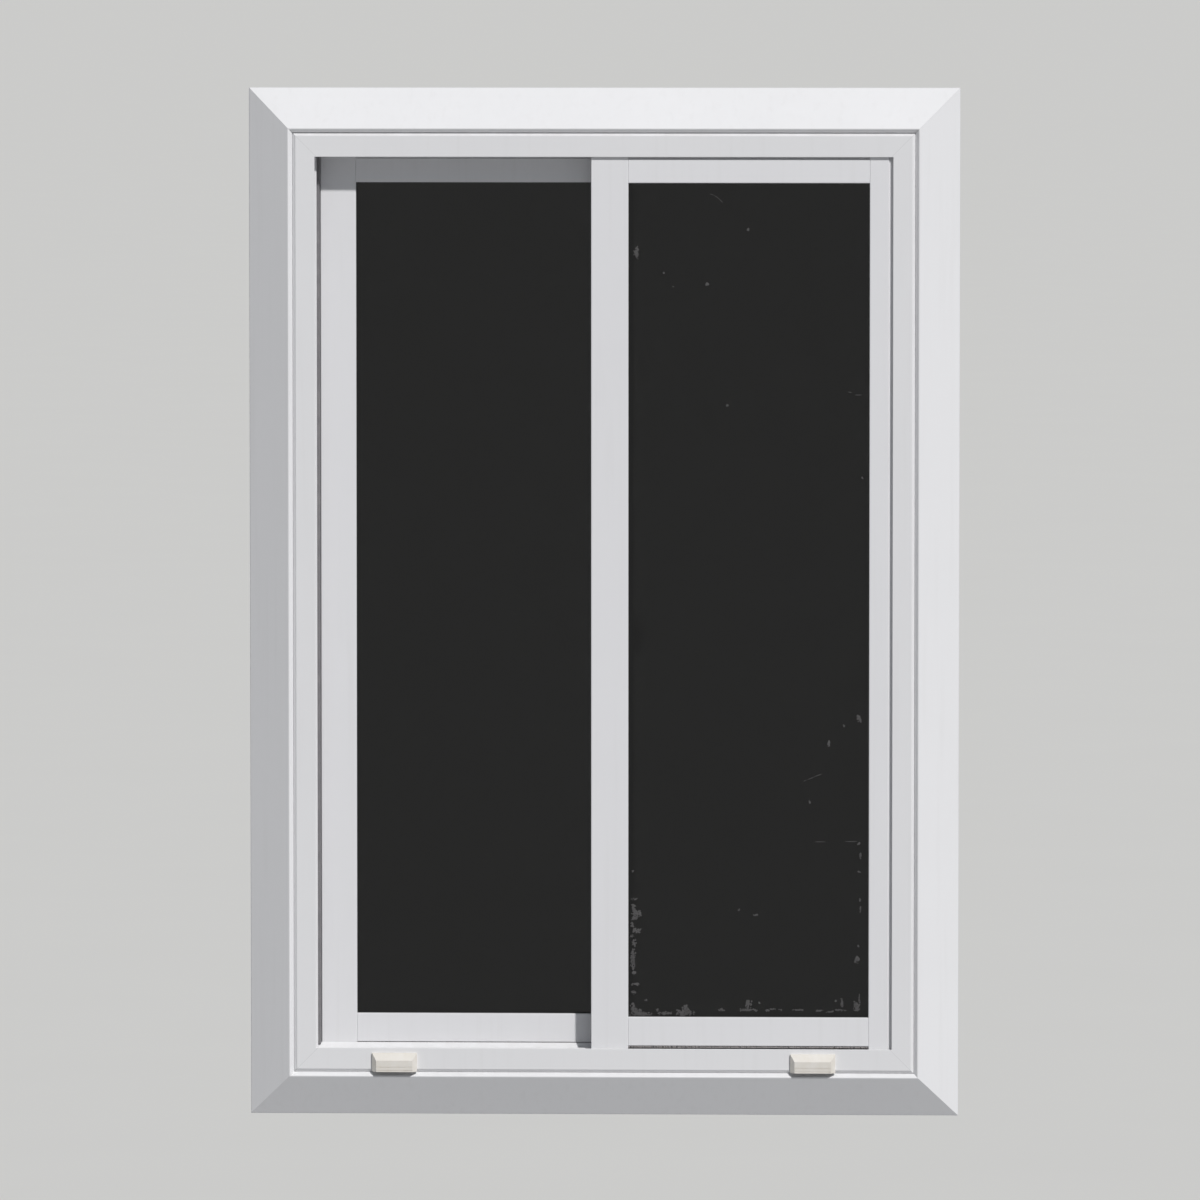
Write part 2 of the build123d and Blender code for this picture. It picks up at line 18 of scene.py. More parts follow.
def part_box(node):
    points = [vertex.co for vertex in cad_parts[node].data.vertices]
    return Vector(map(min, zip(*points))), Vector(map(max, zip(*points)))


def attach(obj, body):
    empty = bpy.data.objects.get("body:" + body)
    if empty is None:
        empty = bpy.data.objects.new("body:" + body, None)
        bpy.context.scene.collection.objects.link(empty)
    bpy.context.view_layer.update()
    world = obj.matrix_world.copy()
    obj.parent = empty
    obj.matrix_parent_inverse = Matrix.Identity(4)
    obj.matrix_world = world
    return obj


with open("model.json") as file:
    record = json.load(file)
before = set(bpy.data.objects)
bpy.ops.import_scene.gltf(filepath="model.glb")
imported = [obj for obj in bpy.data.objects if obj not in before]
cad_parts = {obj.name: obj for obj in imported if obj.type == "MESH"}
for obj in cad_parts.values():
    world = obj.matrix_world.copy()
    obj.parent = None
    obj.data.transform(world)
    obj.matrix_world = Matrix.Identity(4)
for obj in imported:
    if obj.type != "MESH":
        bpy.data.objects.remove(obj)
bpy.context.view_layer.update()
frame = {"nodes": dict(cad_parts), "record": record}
nodes = frame["nodes"]

# %% [markdown]
# The places of the dressing come from the model itself: the boxes of the casing give the middle
# of the window, and the boxes of the sash bars give the edges of the glass. A place that is read
# from the model stays right when the model changes.

# %% Read the main places
casing_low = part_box("casing_left")[0]
casing_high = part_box("casing_right")[1]
casing_half_width = (casing_high.x - casing_low.x) / 2
casing_half_height = (casing_high.z - casing_low.z) / 2
middle_z = (casing_low.z + casing_high.z) / 2
front_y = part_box("frame_left")[0].y
print("middle height:", round(middle_z, 4), "front:", round(front_y, 4))

# %% [markdown]
# The picture is taken from well back with a long lens, a little to the right and a little
# above, so upright lines stay upright. The lens follows from the width that the picture takes
# in and the distance. A lens that is longer and further off would flatten the window too much.
# The Standard view shows each colour as it is set.

# %% Place the camera
VIEW_AZIMUTH = math.radians(1.8)
VIEW_ELEVATION = math.radians(3.9)
VIEW_DISTANCE = 13.0
VIEW_WIDTH = 1.544
AIM_ASIDE = -0.0046
AIM_ABOVE = 0.0055
SENSOR = 36.0
CLIP_END = 500.0
aim = Vector((AIM_ASIDE, front_y, middle_z + AIM_ABOVE))

backward = Vector((
    math.sin(VIEW_AZIMUTH) * math.cos(VIEW_ELEVATION),
    -math.cos(VIEW_AZIMUTH) * math.cos(VIEW_ELEVATION),
    math.sin(VIEW_ELEVATION),
))
camera_data = bpy.data.cameras.new("camera")
camera_data.sensor_width = SENSOR
camera_data.lens = SENSOR * VIEW_DISTANCE / VIEW_WIDTH
camera_data.clip_end = CLIP_END
camera = bpy.data.objects.new("camera", camera_data)
camera.rotation_mode = "QUATERNION"
camera.location = aim + backward * VIEW_DISTANCE
camera.rotation_quaternion = (-backward).to_track_quat("-Z", "Y")
bpy.context.scene.collection.objects.link(camera)
bpy.context.scene.camera = camera
bpy.context.scene.view_settings.view_transform = "Standard"
print("lens:", round(camera_data.lens), "mm at", VIEW_DISTANCE, "m")

# %% [markdown]
# One broad lamp stands high on the right and in front, as the sun does. Its size sets how soft
# the edges of the shadows are. An area lamp close by could do it too, but its light would fall
# off across the window.

# %% Hang the lamp
KEY_DIRECTION = Vector((0.582, -1.0, 1.06))
KEY_COLOR = (1.0, 0.985, 0.975)
KEY_STRENGTH = 2.74
KEY_SOFTNESS = math.radians(2.5)

key_data = bpy.data.lights.new("key_light", "SUN")
key_data.energy = KEY_STRENGTH
key_data.color = KEY_COLOR
key_data.angle = KEY_SOFTNESS
key = bpy.data.objects.new("key_light", key_data)
key.rotation_mode = "QUATERNION"
key.rotation_quaternion = KEY_DIRECTION.to_track_quat("Z", "Y")
bpy.context.scene.collection.objects.link(key)
print("lamp strength:", KEY_STRENGTH)

# %% [markdown]
# The light from all round and the materials are built from nodes. A few short helpers keep the
# code readable: one adds a node and fills its sockets, and the others give the result of a node
# that is used often. A value may be a number, a colour or the output of another node.

# %% Helpers for nodes
def add_node(tree, kind, settings=None, **values):
    """Adds a node. Values are given by socket name, with _ for a space, or are links."""
    node = tree.nodes.new(kind)
    for name, value in (settings or {}).items():
        setattr(node, name, value)
    for name, value in values.items():
        fill_socket(tree, node.inputs[name.replace("_", " ")], value)
    return node


def fill_socket(tree, socket, value):
    """Links a node's output to a socket, or sets the socket's own value."""
    if isinstance(value, bpy.types.NodeSocket):
        tree.links.new(value, socket)
    else:
        socket.default_value = value


def calculate(tree, operation, *values, clamp=False):
    """The result of a Math node on numbers or outputs."""
    node = add_node(tree, "ShaderNodeMath", {"operation": operation, "use_clamp": clamp})
    for socket, value in zip(node.inputs, values):
        fill_socket(tree, socket, value)
    return node.outputs[0]


def mix_colors(tree, factor, first, second, mode="MIX"):
    """The colour between two colours."""
    node = add_node(tree, "ShaderNodeMix", {"data_type": "RGBA", "blend_type": mode})
    fill_socket(tree, node.inputs["Factor"], factor)
    fill_socket(tree, node.inputs["A"], first)
    fill_socket(tree, node.inputs["B"], second)
    return node.outputs["Result"]


def ramp(tree, value, low, high):
    """0 below low, 1 above high, and smooth between them."""
    node = add_node(tree, "ShaderNodeMapRange", {"interpolation_type": "SMOOTHSTEP"},
                    Value=value, From_Min=low, From_Max=high)
    return node.outputs["Result"]


def place_of_point(tree):
    """The point's place in the window's own frame, in metres."""
    return add_node(tree, "ShaderNodeTexCoord").outputs["Object"]


print("node helpers ready")

# %% [markdown]
# A weak light from all round fills the shade under the head, which would be black with the lamp
# alone: cool from above, as from a sky, and warm from below, as from the ground. It is also
# stronger from the lamp's side, as the sky is near the sun. So the shade changes from warm to
# cool down the rail and from side to side, where one colour all round would leave it flat. The
# camera doesn't see this light, and neither do mirrors and clear glass: they see a plain pale
# background.

# %% Light the shade
SKY_COLOR = (0.79, 0.88, 1.0, 1.0)
GROUND_COLOR = (0.30, 0.26, 0.22, 1.0)
GROUND_UP_TO = -0.15
SKY_FROM = 0.45
FILL_STRENGTH = 0.24
FILL_FROM_LEFT = 0.5
FILL_FROM_RIGHT = 1.5
PALE_BACKGROUND = (0.61, 0.613, 0.605, 1.0)


def seen_plainly(tree):
    """1 on the rays of the camera, of mirrors and of clear glass, and 0 on all others."""
    rays = add_node(tree, "ShaderNodeLightPath").outputs
    seen = calculate(tree, "MAXIMUM", rays["Is Camera Ray"], rays["Is Transmission Ray"])
    return calculate(tree, "MAXIMUM", seen, rays["Is Glossy Ray"])


world = bpy.data.worlds.new("studio")
bpy.context.scene.world = world
world.use_nodes = True
sky = world.node_tree
sky.nodes.clear()
direction = add_node(sky, "ShaderNodeTexCoord").outputs["Generated"]
toward = add_node(sky, "ShaderNodeSeparateXYZ", Vector=direction).outputs
height = add_node(sky, "ShaderNodeMapRange", Value=toward["Z"], From_Min=GROUND_UP_TO,
                  From_Max=SKY_FROM).outputs["Result"]
strength = add_node(sky, "ShaderNodeMapRange", Value=toward["X"], From_Min=-1.0, From_Max=1.0,
                    To_Min=FILL_STRENGTH * FILL_FROM_LEFT,
                    To_Max=FILL_STRENGTH * FILL_FROM_RIGHT).outputs["Result"]
fill = add_node(sky, "ShaderNodeBackground", Strength=strength,
                Color=mix_colors(sky, height, GROUND_COLOR, SKY_COLOR))
pale = add_node(sky, "ShaderNodeBackground", Color=PALE_BACKGROUND)
blend = add_node(sky, "ShaderNodeMixShader", Fac=seen_plainly(sky))
sky.links.new(fill.outputs[0], blend.inputs[1])
sky.links.new(pale.outputs[0], blend.inputs[2])
add_node(sky, "ShaderNodeOutputWorld", Surface=blend.outputs[0])
print("fill:", FILL_STRENGTH, "nodes:", len(sky.nodes))

# %% [markdown]
# What several finishes share, such as the grain of powder coat or dust, is a node group: it is
# built once and placed in each material with that material's own values. One helper starts a
# group with its named inputs and outputs, and one places it.

# %% Helpers for node groups
def start_group(name, inputs, outputs):
    """A shader node group: its tree, its input sockets by name, and its output node."""
    tree = bpy.data.node_groups.new(name, "ShaderNodeTree")
    for label, value in inputs.items():
        kind = "NodeSocketColor" if isinstance(value, tuple) else "NodeSocketFloat"
        socket = tree.interface.new_socket(label, in_out="INPUT", socket_type=kind)
        socket.default_value = value
    for label, kind in outputs.items():
        tree.interface.new_socket(label, in_out="OUTPUT", socket_type=kind)
    entry = tree.nodes.new("NodeGroupInput")
    leave = tree.nodes.new("NodeGroupOutput")
    return tree, entry.outputs, leave


def use_group(tree, group, **values):
    """Places a group in a material with its own values."""
    node = tree.nodes.new("ShaderNodeGroup")
    node.node_tree = group
    for name, value in values.items():
        fill_socket(tree, node.inputs[name.replace("_", " ")], value)
    return node.outputs


print("group helpers ready")

# %% [markdown]
# Powder coat is sprayed on as a dry powder and baked, so it is never quite flat: it has a fine
# orange peel about a millimetre across, and the white drifts by a percent or two along a bar.
# One group makes both, and each painted material gives it its own grain and depth.

# %% Powder coat group
powder_group, given, leave = start_group(
    "powder_coat",
    {"Color": (0.8, 0.8, 0.8, 1.0), "Grain": 900.0, "Drift": 0.03, "Base Roughness": 0.42},
    {"Color": "NodeSocketColor", "Roughness": "NodeSocketFloat", "Height": "NodeSocketFloat"},
)
point = place_of_point(powder_group)
peel = add_node(powder_group, "ShaderNodeTexNoise", Vector=point, Scale=given["Grain"],
                Detail=2.0, Roughness=0.55)
cloud = add_node(powder_group, "ShaderNodeTexNoise", Vector=point, Scale=7.0, Detail=4.0,
                 Roughness=0.6)
centred = calculate(powder_group, "SUBTRACT", cloud.outputs["Fac"], 0.5)
shade = calculate(powder_group, "MULTIPLY_ADD", centred, given["Drift"], 1.0)
shade_color = add_node(powder_group, "ShaderNodeCombineColor", Red=shade, Green=shade, Blue=shade)
drifted = mix_colors(powder_group, 1.0, given["Color"], shade_color.outputs["Color"], "MULTIPLY")
fill_socket(powder_group, leave.inputs["Color"], drifted)
rough = calculate(powder_group, "MULTIPLY_ADD", centred, 0.2, given["Base Roughness"])
fill_socket(powder_group, leave.inputs["Roughness"], rough)
fill_socket(powder_group, leave.inputs["Height"], peel.outputs["Fac"])
print("group:", powder_group.name, [item.name for item in powder_group.interface.items_tree])

# %% [markdown]
# Out of doors, dust settles on whatever faces up and washes into thin, upright streaks below.
# This group gives a mask of that: strongest on upward faces, faint and streaked on upright
# ones. It is kept low, because the window is clean.

# %% Weather group
weather_group, given, leave = start_group(
    "weather",
    {"Ledge Dust": 0.3, "Streaks": 0.1},
    {"Mask": "NodeSocketFloat"},
)
point = place_of_point(weather_group)
facing = add_node(weather_group, "ShaderNodeNewGeometry").outputs["Normal"]
upward = add_node(weather_group, "ShaderNodeSeparateXYZ", Vector=facing).outputs["Z"]
ledge = ramp(weather_group, upward, 0.35, 0.95)
patches = add_node(weather_group, "ShaderNodeTexNoise", Vector=point, Scale=45.0, Detail=6.0,
                   Roughness=0.65).outputs["Fac"]
ledge_dust = calculate(weather_group, "MULTIPLY", ledge, ramp(weather_group, patches, 0.3, 0.7))
stretched = add_node(weather_group, "ShaderNodeMapping", Vector=point, Scale=(110.0, 110.0, 4.0))
runs = add_node(weather_group, "ShaderNodeTexNoise", Vector=stretched.outputs["Vector"],
                Scale=1.0, Detail=3.0, Roughness=0.5).outputs["Fac"]
streaks = calculate(weather_group, "MULTIPLY", ramp(weather_group, runs, 0.5, 0.8),
                    given["Streaks"])
mask = calculate(weather_group, "MULTIPLY_ADD", ledge_dust, given["Ledge Dust"], streaks,
                 clamp=True)
fill_socket(weather_group, leave.inputs["Mask"], mask)
print("group:", weather_group.name)

# %% [markdown]
# The bars of the frame and of the casing meet in mitres, cut at 45 degrees. However well they
# are pressed together, a hairline shows at each corner. All eight lie on the same four
# diagonals, so one group finds them from how far a point is from the window's sides.

# %% Mitre hairline group
mitre_group, given, leave = start_group(
    "mitre_hairline",
    {"Middle": middle_z, "Diagonal": casing_half_height - casing_half_width, "Width": 0.0004,
     "Strength": 1.0},
    {"Mask": "NodeSocketFloat"},
)
point = add_node(mitre_group, "ShaderNodeSeparateXYZ", Vector=place_of_point(mitre_group))
beside = calculate(mitre_group, "ABSOLUTE", point.outputs["X"])
above = calculate(mitre_group, "ABSOLUTE",
                  calculate(mitre_group, "SUBTRACT", point.outputs["Z"], given["Middle"]))
difference = calculate(mitre_group, "SUBTRACT", above, beside)
off_line = calculate(mitre_group, "ABSOLUTE",
                     calculate(mitre_group, "SUBTRACT", difference, given["Diagonal"]))
near = calculate(mitre_group, "DIVIDE", off_line, given["Width"])
line = calculate(mitre_group, "SUBTRACT", 1.0, ramp(mitre_group, near, 0.5, 1.0))
fill_socket(mitre_group, leave.inputs["Mask"],
            calculate(mitre_group, "MULTIPLY", line, given["Strength"]))
print("group:", mitre_group.name)

# %% [markdown]
# Drawn, rolled and ground metal shows fine lines one way. Stretching a noise along one axis
# makes them; the group gives a height for the bump and a value for the roughness.

# %% Brushed metal group
brushed_group, given, leave = start_group(
    "brushed_lines",
    {"Fineness": 1.0},
    {"Height": "NodeSocketFloat", "Roughness": "NodeSocketFloat"},
)
point = place_of_point(brushed_group)
along = add_node(brushed_group, "ShaderNodeMapping", Vector=point, Scale=(40.0, 2500.0, 2500.0))
lines = add_node(brushed_group, "ShaderNodeTexNoise", Vector=along.outputs["Vector"],
                 Scale=given["Fineness"], Detail=3.0, Roughness=0.6).outputs["Fac"]
fill_socket(brushed_group, leave.inputs["Height"], lines)
fill_socket(brushed_group, leave.inputs["Roughness"],
            calculate(brushed_group, "MULTIPLY_ADD", lines, 0.25, 0.25))
print("group:", brushed_group.name)

# %% [markdown]
# Moulded plastic and rubber take the skin of their mould: a fine, even spark-eroded grain with
# a slow change of shade where the plastic has yellowed or the rubber has bloomed.

# %% Moulded skin group
moulded_group, given, leave = start_group(
    "moulded_skin",
    {"Color": (0.5, 0.5, 0.5, 1.0), "Aged Color": (0.4, 0.4, 0.4, 1.0), "Grain": 1500.0},
    {"Color": "NodeSocketColor", "Roughness": "NodeSocketFloat", "Height": "NodeSocketFloat"},
)
point = place_of_point(moulded_group)
grain = add_node(moulded_group, "ShaderNodeTexNoise", Vector=point, Scale=given["Grain"],
                 Detail=2.0, Roughness=0.6).outputs["Fac"]
bloom = add_node(moulded_group, "ShaderNodeTexNoise", Vector=point, Scale=60.0, Detail=5.0,
                 Roughness=0.6).outputs["Fac"]
aged = mix_colors(moulded_group, ramp(moulded_group, bloom, 0.35, 0.75), given["Color"],
                  given["Aged Color"])
fill_socket(moulded_group, leave.inputs["Color"], aged)
fill_socket(moulded_group, leave.inputs["Roughness"],
            calculate(moulded_group, "MULTIPLY_ADD", bloom, 0.25, 0.4))
fill_socket(moulded_group, leave.inputs["Height"], grain)
print("group:", moulded_group.name)

# %% [markdown]
# Every material starts the same way: one Principled shader, and a bump whose distance is the
# real height of the texture. The shader's own sockets hold what is the same all over.

# %% Start a material
def start_material(name, metallic=0.0):
    """A material with an empty tree and a Principled shader at its end."""
    material = bpy.data.materials.new(name)
    material.use_nodes = True
    tree = material.node_tree
    tree.nodes.clear()
    shader = tree.nodes.new("ShaderNodeBsdfPrincipled")
    shader.inputs["Metallic"].default_value = metallic
    output = tree.nodes.new("ShaderNodeOutputMaterial")
    tree.links.new(shader.outputs["BSDF"], output.inputs["Surface"])
    return material, tree, shader


def add_bump(tree, shader, height, depth, strength=1.0):
    """Bumps the surface by a height from 0 to 1, depth metres high."""
    bump = add_node(tree, "ShaderNodeBump", Height=height, Distance=depth, Strength=strength)
    tree.links.new(bump.outputs["Normal"], shader.inputs["Normal"])


print("materials share one start")

# %% [markdown]
# The frame and sashes are the same white with the least touch of lilac. The casing is folded
# from flat sheet and sprayed on another line, so its white is a little brighter and smoother.
# Each paint is the powder coat with the dust mixed in, and the mitred bars get the hairline.

# %% Painted aluminium
DUST = (0.42, 0.40, 0.37, 1.0)
HAIRLINE = (0.16, 0.16, 0.17, 1.0)


def painted(name, color, grain, peel_depth, ledge_dust, streaks, hairline=0.0):
    """White powder coat, with dust, faint streaks and hairlines at the mitres."""
    material, tree, shader = start_material(name)
    coat = use_group(tree, powder_group, Color=color, Grain=grain)
    weather = use_group(tree, weather_group, Ledge_Dust=ledge_dust, Streaks=streaks)
    dusty = mix_colors(tree, weather["Mask"], coat["Color"], DUST)
    if hairline:
        mitre = use_group(tree, mitre_group, Strength=hairline)
        dusty = mix_colors(tree, mitre["Mask"], dusty, HAIRLINE)
    fill_socket(tree, shader.inputs["Base Color"], dusty)
    fill_socket(tree, shader.inputs["Roughness"], coat["Roughness"])
    add_bump(tree, shader, coat["Height"], peel_depth)
    return material


finishes = {
    "frame_white": painted("frame_white", (0.80, 0.80, 0.81, 1.0), 900.0, 0.00003, 0.25, 0.05,
                           hairline=0.22),
    "casing_white": painted("casing_white", (0.83, 0.83, 0.84, 1.0), 1100.0, 0.00003, 0.1, 0.05,
                            hairline=0.15),
    "sash_white": painted("sash_white", (0.80, 0.80, 0.815, 1.0), 900.0, 0.00003, 0.2, 0.05),
    "latch_white": painted("latch_white", (0.80, 0.80, 0.79, 1.0), 1400.0, 0.00004, 0.2, 0.0),
}
print("painted:", sorted(finishes))

# %% [markdown]
# The outer pane's colour is nearly black: painted shade for the unlit room behind it, which
# isn't built. It is real glass all the same: light goes through it, is darkened on the way, and a
# little of the bright ground is mirrored on its face. A black, opaque sheet would look right in
# this one picture and wrong in any other.
# How much it mirrors follows from its index. The dark glass has a little less than a real one's
# 1.52, because the ground before the real window is darker than the pale floor here.

# %% Dark glass and clear glass
def glazed(name, color, index):
    """Float glass with a film of dust so thin that it only softens the mirror image."""
    material, tree, shader = start_material(name)
    shader.inputs["Base Color"].default_value = color
    shader.inputs["Transmission Weight"].default_value = 1.0
    shader.inputs["IOR"].default_value = index
    point = place_of_point(tree)
    film = add_node(tree, "ShaderNodeTexNoise", Vector=point, Scale=9.0, Detail=5.0,
                    Roughness=0.6).outputs["Fac"]
    softness = calculate(tree, "MULTIPLY_ADD", ramp(tree, film, 0.4, 0.8), 0.05, 0.01)
    fill_socket(tree, shader.inputs["Roughness"], softness)
    wave = add_node(tree, "ShaderNodeTexNoise", Vector=point, Scale=3.0, Detail=1.0)
    add_bump(tree, shader, wave.outputs["Fac"], 0.0001)
    return material


# Nearly black: painted shade for the unlit room behind the outer pane.
finishes["dark_glass"] = glazed("dark_glass", (0.006, 0.006, 0.006, 1.0), 1.42)
clear_glass = glazed("clear_glass", (0.93, 0.95, 0.94, 1.0), 1.5)
print("glass:", clear_glass.name)

# %% [markdown]
# The small fittings: cream plastic drain covers that have yellowed a little, black rubber
# gaskets, nylon wheels, black setting blocks, and bare steel and aluminium.

# %% Plastics, rubber and bare metal
def moulded(name, color, aged_color, grain, depth):
    """Moulded plastic or rubber."""
    material, tree, shader = start_material(name)
    skin = use_group(tree, moulded_group, Color=color, Aged_Color=aged_color, Grain=grain)
    fill_socket(tree, shader.inputs["Base Color"], skin["Color"])
    fill_socket(tree, shader.inputs["Roughness"], skin["Roughness"])
    add_bump(tree, shader, skin["Height"], depth)
    return material


def bare_metal(name, color, dull_color, fineness):
    """Drawn or pressed metal with fine lines and dull patches."""
    material, tree, shader = start_material(name, metallic=1.0)
    lines = use_group(tree, brushed_group, Fineness=fineness)
    patches = add_node(tree, "ShaderNodeTexNoise", Vector=place_of_point(tree), Scale=70.0,
                       Detail=5.0, Roughness=0.65).outputs["Fac"]
    metal = mix_colors(tree, ramp(tree, patches, 0.4, 0.7), color, dull_color)
    fill_socket(tree, shader.inputs["Base Color"], metal)
    fill_socket(tree, shader.inputs["Roughness"], lines["Roughness"])
    add_bump(tree, shader, lines["Height"], 0.00001)
    return material


finishes["cream_plastic"] = moulded("cream_plastic", (0.79, 0.76, 0.71, 1.0),
                                    (0.74, 0.70, 0.63, 1.0), 1300.0, 0.00004)
finishes["gasket"] = moulded("gasket", (0.022, 0.022, 0.023, 1.0), (0.05, 0.05, 0.05, 1.0),
                             900.0, 0.00005)
finishes["setting_block"] = moulded("setting_block", (0.06, 0.06, 0.06, 1.0),
                                    (0.09, 0.09, 0.09, 1.0), 1500.0, 0.00003)
finishes["wheel"] = moulded("wheel", (0.62, 0.60, 0.55, 1.0), (0.5, 0.48, 0.43, 1.0), 1500.0,
                            0.00002)
finishes["spacer"] = bare_metal("spacer", (0.72, 0.72, 0.73, 1.0), (0.6, 0.6, 0.61, 1.0), 1.0)
finishes["screw_steel"] = bare_metal("screw_steel", (0.66, 0.66, 0.65, 1.0),
                                     (0.5, 0.5, 0.5, 1.0), 1.5)
finishes["brush_pile"] = moulded("brush_pile", (0.40, 0.375, 0.37, 1.0), (0.32, 0.30, 0.295, 1.0),
                                 4000.0, 0.00008)
# Dark grey rubber for the jamb seals, whose darkness is also painted shade for the deep gap.
finishes["grey_rubber_and_shade"] = moulded("grey_rubber_and_shade", (0.19, 0.185, 0.195, 1.0),
                                  (0.24, 0.235, 0.24, 1.0), 1200.0, 0.00004)
finishes["dried_splash"] = moulded("dried_splash", (0.058, 0.056, 0.057, 1.0),
                                   (0.085, 0.082, 0.083, 1.0), 2500.0, 0.00003)
finishes["carrier"] = bare_metal("carrier", (0.58, 0.59, 0.6, 1.0), (0.42, 0.42, 0.42, 1.0), 0.7)
finishes["keeper_steel"] = bare_metal("keeper_steel", (0.62, 0.61, 0.6, 1.0),
                                      (0.5, 0.49, 0.48, 1.0), 1.2)
print("finishes:", len(finishes))

# %% [markdown]
# Each piece of the model is given the finish that its record names. The inner pane of each
# sealed unit is clear, as only the outdoor pane is made nearly black, as painted shade for the
# room behind.

# %% Give the model its finishes
for entry in frame["record"]["subparts"]:
    name = entry["node"]
    finish = finishes[entry["material_slot"]]
    if name.endswith("inner_pane"):
        finish = clear_glass
    for material_slot in nodes[name].material_slots:
        material_slot.material = finish

# %% [markdown]
# What a fitter leaves on a window, or a CAD model leaves out, is made here as meshes of its
# own. Each one is turned into an object in the same way, takes the finish of a slot and rides
# on the window.

# %% Put a piece in the scene
def add_piece(name, mesh, finish):
    """Makes an object from a bmesh, in the window's frame, and fastens it to the window."""
    bmesh.ops.recalc_face_normals(mesh, faces=mesh.faces)
    data = bpy.data.meshes.new(name)
    mesh.to_mesh(data)
    mesh.free()
    data.materials.append(finishes[finish])
    piece = bpy.data.objects.new(name, data)
    bpy.context.scene.collection.objects.link(piece)
    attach(piece, "root")
    print(name + ":", len(data.polygons), "faces")


FACING_OUTDOORS = Matrix.Rotation(math.radians(90.0), 4, "X")
FACING_ROOM = Matrix.Rotation(math.radians(-90.0), 4, "X")
print("pieces face outdoors or the room")

# %% [markdown]
# Grey splashes have dried on the right pane, where the fitter's filler ran or was wiped into
# the corners. A noise in the glass could show such dirt, but these have their places, so they
# are small flakes: flat cones with their points pushed in and out at random, lying over each
# other in patches. Each patch was read off the photograph and is given in whole millimetres:
# its middle from the lower left corner of the glass, its width and its height. A large patch
# gets more flakes than a small one.

# %% Places of the splashes
LEFT_EDGE_SPLASHES = (
    (6, 188, 3, 2), (8, 152, 7, 2), (7, 140, 6, 10), (11, 134, 13, 9), (8, 127, 8, 5),
    (5, 120, 4, 8), (11, 111, 11, 6), (5, 104, 4, 4), (7, 96, 6, 8), (6, 75, 6, 24),
    (7, 56, 5, 5), (9, 42, 11, 3), (7, 31, 5, 5), (23, 21, 4, 2),
)
BOTTOM_EDGE_SPLASHES = (
    (6, 12, 6, 13), (11, 6, 13, 8), (17, 3, 27, 5), (37, 8, 3, 3), (48, 4, 16, 4), (74, 11, 9, 7),
    (73, 5, 24, 7), (120, 9, 7, 3), (153, 9, 24, 3), (155, 16, 8, 10), (170, 18, 4, 2),
    (180, 8, 5, 3), (186, 10, 9, 2), (197, 9, 5, 2), (220, 9, 16, 2), (245, 8, 12, 2),
    (260, 7, 10, 2), (273, 9, 15, 2), (276, 18, 3, 11), (268, 21, 4, 2),
)
RIGHT_EDGE_SPLASHES = (
    (295, 14, 8, 11), (298, 24, 2, 10), (295, 75, 7, 9), (297, 92, 4, 2), (299, 140, 2, 8),
    (299, 152, 2, 4), (297, 188, 5, 2), (299, 209, 2, 9), (297, 225, 4, 3), (301, 697, 2, 3),
)
SINGLE_SPOTS = (
    (143, 139, 2, 3), (165, 132, 6, 2), (234, 279, 2, 5), (258, 354, 3, 8), (278, 377, 3, 3),
    (297, 386, 6, 10), (127, 790, 3, 3), (101, 946, 4, 3), (45, 960, 2, 2), (10, 986, 6, 14),
    (154, 1016, 3, 3),
)
splash_patches = (LEFT_EDGE_SPLASHES + BOTTOM_EDGE_SPLASHES + RIGHT_EDGE_SPLASHES
                  + SINGLE_SPOTS)
print("patches:", len(splash_patches))

# %% [markdown]
# A flake is a cone almost as wide at its top as at its foot. It is made one unit across, its
# points are pushed, and one matrix then stretches it, turns it and sets it on the pane. The
# numbers come from one seeded source, so each run makes the same flakes.

# %% Splashes on the right pane
MM = 0.001
FLAKES_AT_LEAST = 3
FLAKES_PER_AREA = 0.7
FLAKE_RADII = (0.5, 1.4)
FLAKE_THICKNESS = 0.2
FLAKE_LIFT = 0.51
FLAKE_SIDES = 9
FLAKE_TOP = 0.8
POINT_SHARES = (0.7, 1.1)
SIZE_SHARES = (0.6, 1.0)
PATCH_SPREAD = 0.6

pane_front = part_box("right_outer_pane")[0].y
glass_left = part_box("right_meeting_stile")[1].x
glass_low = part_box("right_bottom_rail")[1].z
chance = random.Random(21)


def add_flake(mesh, across, up, half_length, half_width, turn):
    """One irregular flake on the front of the pane, with its sizes in millimetres."""
    thickness = FLAKE_THICKNESS * chance.uniform(*SIZE_SHARES)
    flake = bmesh.ops.create_cone(mesh, cap_ends=True, segments=FLAKE_SIDES, radius1=1.0,
                                  radius2=FLAKE_TOP, depth=1.0)["verts"]
    for vert in flake:
        vert.co.xy *= chance.uniform(*POINT_SHARES)
    middle_y = pane_front - thickness * MM * FLAKE_LIFT
    place = (Matrix.Translation((glass_left + across * MM, middle_y, glass_low + up * MM))
             @ FACING_OUTDOORS @ Matrix.Rotation(turn, 4, "Z")
             @ Matrix.Diagonal((half_length * MM, half_width * MM, thickness * MM, 1.0)))
    bmesh.ops.transform(mesh, matrix=place, verts=flake)


splashes = bmesh.new()
for across, up, width, height in splash_patches:
    for _ in range(FLAKES_AT_LEAST + int(width * height * FLAKES_PER_AREA)):
        radius = min(chance.uniform(*FLAKE_RADII), width / 2, height / 2)
        add_flake(splashes, across + chance.triangular(-PATCH_SPREAD, PATCH_SPREAD) * width,
                  up + chance.triangular(-PATCH_SPREAD, PATCH_SPREAD) * height, radius,
                  radius * chance.uniform(*SIZE_SHARES), chance.uniform(0.0, math.pi))
add_piece("dried_splashes", splashes, "dried_splash")

# %% [markdown]
# A few fine scratches cross the same pane. They are flakes too, very long and narrow, each with
# its middle and half its length in millimetres and its slope in degrees.

